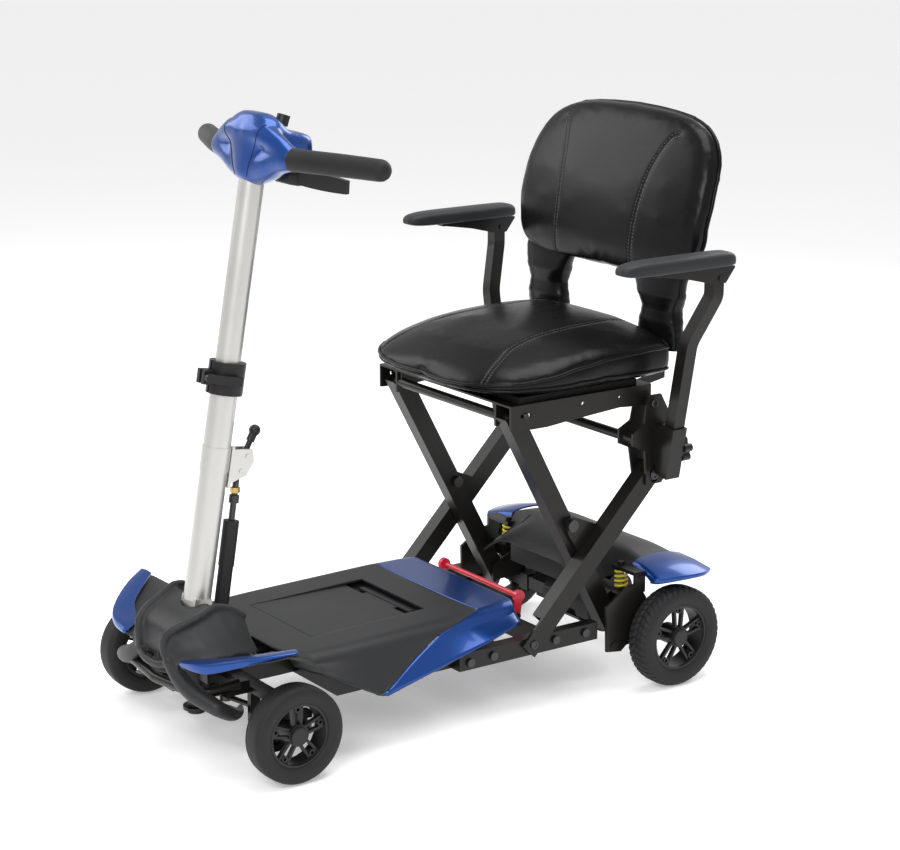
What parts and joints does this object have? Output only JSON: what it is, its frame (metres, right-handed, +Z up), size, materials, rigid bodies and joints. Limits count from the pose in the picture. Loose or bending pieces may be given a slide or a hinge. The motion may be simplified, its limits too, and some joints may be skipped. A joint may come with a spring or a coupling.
{
  "type": "folding mobility scooter",
  "caption": "Folding four-wheel electric mobility scooter with a scissor seat frame, tilting tiller, padded seat, backrest and flip-up armrests.",
  "frame": {"origin": "on the ground under the middle of the whole scooter", "axes": "+Z up, the rider faces -Y, +X to the rider's left"},
  "size_m": [0.632, 0.9578, 0.9709],
  "materials": {
    "satin_silver": "satin anodised",
    "frame_black": "satin powder coat",
    "cast_black": "matt cast",
    "cover_charcoal": "fine grain",
    "metallic_blue": "metallic lacquer",
    "tyre_black": "solid tyre",
    "rim_black": "satin",
    "leather_black": "grained",
    "pad_black": "moulded foam skin",
    "grip_black": "foam",
    "release_red": "gloss",
    "spring_yellow": "gloss",
    "steel": "zinc plated",
    "black_plastic": "moulded",
    "board": "black stained"
  },
  "bodies": {
    "chassis": {"front_frame": "frame_black", "deck_shell": "cover_charcoal", "deck_band": "metallic_blue", "front_shroud": "cover_charcoal", "front_fenders": "metallic_blue", "front_bumper": "frame_black", "rail_bolts": "steel", "battery_pack": "black_plastic"},
    "lid": {"battery_lid": "cover_charcoal"},
    "release_bar": {"release_bar": "release_red"},
    "steering_column": {"steering_column": "frame_black"},
    "tiller_lower": {"tiller_lower_tube": "satin_silver", "height_clamp": "black_plastic", "release_bracket": "satin_silver"},
    "tiller_upper": {"tiller_upper_tube": "satin_silver", "tiller_head": "metallic_blue", "handlebar": "steel", "grips": "grip_black"},
    "clamp_lever": {"clamp_lever": "black_plastic"},
    "release_lever": {"release_lever": "black_plastic"},
    "strut_cylinder": {"strut_cylinder": "cast_black"},
    "strut_rod": {"strut_rod": "steel"},
    "throttle_paddle": {"throttle_paddle": "black_plastic"},
    "speed_knob": {"speed_knob": "black_plastic"},
    "knuckle_left": {"knuckle_left": "frame_black"},
    "knuckle_right": {"knuckle_right": "frame_black"},
    "tie_rod_left": {"tie_rod_left": "steel"},
    "tie_rod_right": {"tie_rod_right": "steel"},
    "front_wheel_left": {"front_tyre_left": "tyre_black", "front_rim_left": "rim_black"},
    "front_wheel_right": {"front_tyre_right": "tyre_black", "front_rim_right": "rim_black"},
    "outer_arms": {"outer_arms": "frame_black", "scissor_pins": "steel"},
    "inner_arms": {"inner_arms": "frame_black"},
    "rear_unit": {"rear_frame": "frame_black", "rear_cover": "cover_charcoal", "rear_fenders": "metallic_blue", "controller_box": "black_plastic"},
    "swing_arm": {"swing_arm": "frame_black", "drive_motor": "cast_black", "coil_springs": "spring_yellow"},
    "rear_wheel_left": {"rear_tyre_left": "tyre_black", "rear_rim_left": "rim_black"},
    "rear_wheel_right": {"rear_tyre_right": "tyre_black", "rear_rim_right": "rim_black"},
    "seat": {"seat_frame": "frame_black", "seat_board": "board", "seat_cushion": "leather_black"},
    "seat_back": {"back_frame": "frame_black", "back_cushion": "leather_black"},
    "rear_links": {"rear_links": "frame_black"},
    "armrest_post_left": {"armrest_post_left": "frame_black"},
    "armrest_left": {"armrest_bracket_left": "frame_black", "armrest_pad_left": "pad_black"},
    "star_knob_left": {"star_knob_left": "black_plastic"},
    "armrest_post_right": {"armrest_post_right": "frame_black"},
    "armrest_right": {"armrest_bracket_right": "frame_black", "armrest_pad_right": "pad_black"},
    "star_knob_right": {"star_knob_right": "black_plastic"}
  },
  "joints": [
    {"name": "fold", "type": "hinge", "parent": "chassis", "child": "outer_arms", "pos_m": [0, 0.1069, 0.111], "axis": [1, 0, 0], "range_deg": [0, 13]},
    {"name": "inner_arm_pivot", "type": "hinge", "parent": "outer_arms", "child": "inner_arms", "pos_m": [0, 0.1959, 0.29], "axis": [1, 0, 0], "range_deg": [-26.5, 0.5]},
    {"name": "rear_unit_pivot", "type": "hinge", "parent": "inner_arms", "child": "rear_unit", "pos_m": [0, 0.2849, 0.111], "axis": [1, 0, 0], "range_deg": [-0.3, 13.3]},
    {"name": "seat_pivot", "type": "hinge", "parent": "inner_arms", "child": "seat", "pos_m": [0, 0.0899, 0.476], "axis": [1, 0, 0], "range_deg": [-0.3, 13.3]},
    {"name": "link_pivot", "type": "hinge", "parent": "seat", "child": "rear_links", "pos_m": [0, 0.3429, 0.478], "axis": [1, 0, 0], "range_deg": [-31.05, 0.5]},
    {"name": "suspension", "type": "hinge", "parent": "rear_unit", "child": "swing_arm", "pos_m": [0, 0.2669, 0.078], "axis": [1, 0, 0], "range_deg": [0, 5], "stiffness_Nm_per_rad": 700, "springref_deg": -2.29, "deforming": ["coil_springs"]},
    {"name": "rear_wheel_left_spin", "type": "hinge", "parent": "swing_arm", "child": "rear_wheel_left", "pos_m": [0, 0.3709, 0.0845], "axis": [1, 0, 0], "continuous": true},
    {"name": "rear_wheel_right_spin", "type": "hinge", "parent": "swing_arm", "child": "rear_wheel_right", "pos_m": [0, 0.3709, 0.0845], "axis": [1, 0, 0], "continuous": true},
    {"name": "steer", "type": "hinge", "parent": "chassis", "child": "steering_column", "pos_m": [0, -0.4001, 0.09], "axis": [0, 0, 1], "range_deg": [-25, 25]},
    {"name": "knuckle_left_turn", "type": "hinge", "parent": "chassis", "child": "knuckle_left", "pos_m": [0.178, -0.3641, 0.078], "axis": [0, 0, 1], "range_deg": [-25.5, 25.5]},
    {"name": "knuckle_right_turn", "type": "hinge", "parent": "chassis", "child": "knuckle_right", "pos_m": [-0.178, -0.3641, 0.078], "axis": [0, 0, 1], "range_deg": [-25.5, 25.5]},
    {"name": "tie_rod_left_turn", "type": "hinge", "parent": "steering_column", "child": "tie_rod_left", "pos_m": [0.014, -0.3551, 0.066], "axis": [0, 0, 1], "range_deg": [-25.5, 25.5]},
    {"name": "tie_rod_right_turn", "type": "hinge", "parent": "steering_column", "child": "tie_rod_right", "pos_m": [-0.014, -0.3551, 0.066], "axis": [0, 0, 1], "range_deg": [-25.5, 25.5]},
    {"name": "front_wheel_left_spin", "type": "hinge", "parent": "knuckle_left", "child": "front_wheel_left", "pos_m": [0, -0.3641, 0.078], "axis": [1, 0, 0], "continuous": true},
    {"name": "front_wheel_right_spin", "type": "hinge", "parent": "knuckle_right", "child": "front_wheel_right", "pos_m": [0, -0.3641, 0.078], "axis": [1, 0, 0], "continuous": true},
    {"name": "tiller_fold", "type": "hinge", "parent": "steering_column", "child": "tiller_lower", "pos_m": [0, -0.3991, 0.2], "axis": [-1, 0, 0], "range_deg": [0, 27]},
    {"name": "tiller_height", "type": "slide", "parent": "tiller_lower", "child": "tiller_upper", "axis": [0, 0.1736, 0.9848], "range_m": [-0.2, 0.02]},
    {"name": "clamp_lever_swing", "type": "hinge", "parent": "tiller_lower", "child": "clamp_lever", "pos_m": [0.016, -0.37039, 0.57877], "axis": [1, 0, 0], "range_deg": [0, 80]},
    {"name": "release_lever_pull", "type": "hinge", "parent": "tiller_lower", "child": "release_lever", "pos_m": [0, -0.3051, 0.446], "axis": [1, 0, 0], "range_deg": [-20, 0], "stiffness_Nm_per_rad": 0.5, "springref_deg": 5.73},
    {"name": "strut_swing", "type": "hinge", "parent": "steering_column", "child": "strut_cylinder", "pos_m": [0, -0.3591, 0.165], "axis": [-1, 0, 0], "range_deg": [-0.5, 25.62]},
    {"name": "strut_slide", "type": "slide", "parent": "strut_cylinder", "child": "strut_rod", "axis": [0, 0.1601, 0.9871], "range_m": [-0.025, 0.0005]},
    {"name": "throttle_pull", "type": "hinge", "parent": "tiller_upper", "child": "throttle_paddle", "pos_m": [0.06, -0.23894, 0.87914], "axis": [0, 0, 1], "range_deg": [0, 12], "stiffness_Nm_per_rad": 0.4, "springref_deg": -5.73},
    {"name": "speed_dial", "type": "hinge", "parent": "tiller_upper", "child": "speed_knob", "pos_m": [0.028, -0.24494, 0.95214], "axis": [0, 0.3304, 0.9439], "range_deg": [0, 270]},
    {"name": "lid_open", "type": "hinge", "parent": "chassis", "child": "lid", "pos_m": [0, -0.2411, 0.16054], "axis": [-1, 0, 0], "range_deg": [-75, 0]},
    {"name": "release_bar_pull", "type": "hinge", "parent": "chassis", "child": "release_bar", "pos_m": [0, 0.1409, 0.128], "axis": [1, 0, 0], "range_deg": [-20, 0], "stiffness_Nm_per_rad": 1, "springref_deg": 8.59},
    {"name": "backrest_fold", "type": "hinge", "parent": "seat", "child": "seat_back", "pos_m": [0, 0.3989, 0.6], "axis": [-1, 0, 0], "range_deg": [-56, 0]},
    {"name": "armrest_height_left", "type": "slide", "parent": "rear_links", "child": "armrest_post_left", "axis": [0.1909, 0, 0.9816], "range_m": [0, 0.06]},
    {"name": "armrest_flip_left", "type": "hinge", "parent": "armrest_post_left", "child": "armrest_left", "pos_m": [0.293, 0.3869, 0.695], "axis": [1, 0, 0], "range_deg": [-92, 0]},
    {"name": "star_knob_turn_left", "type": "hinge", "parent": "rear_links", "child": "star_knob_left", "pos_m": [0.23173, 0.3579, 0.40145], "axis": [0, 1, 0], "range_deg": [0, 180]},
    {"name": "armrest_height_right", "type": "slide", "parent": "rear_links", "child": "armrest_post_right", "axis": [-0.1909, 0, 0.9816], "range_m": [0, 0.06]},
    {"name": "armrest_flip_right", "type": "hinge", "parent": "armrest_post_right", "child": "armrest_right", "pos_m": [-0.293, 0.3869, 0.695], "axis": [1, 0, 0], "range_deg": [-92, 0]},
    {"name": "star_knob_turn_right", "type": "hinge", "parent": "rear_links", "child": "star_knob_right", "pos_m": [-0.23173, 0.3579, 0.40145], "axis": [0, 1, 0], "range_deg": [0, 180]}
  ],
  "couplings": [
    {"joint": "inner_arm_pivot", "follows": "fold", "ratio": -2},
    {"joint": "rear_unit_pivot", "follows": "fold", "ratio": 1},
    {"joint": "seat_pivot", "follows": "fold", "ratio": 1},
    {"joint": "link_pivot", "follows": "fold", "ratio": -2.35},
    {"joint": "knuckle_left_turn", "follows": "steer", "ratio": 1},
    {"joint": "knuckle_right_turn", "follows": "steer", "ratio": 1},
    {"joint": "tie_rod_left_turn", "follows": "steer", "ratio": -1},
    {"joint": "tie_rod_right_turn", "follows": "steer", "ratio": -1},
    {"joint": "strut_swing", "follows": "tiller_fold", "ratio": 0.9302},
    {"joint": "strut_slide", "follows": "tiller_fold", "m_per_rad": -0.049672}
  ]
}
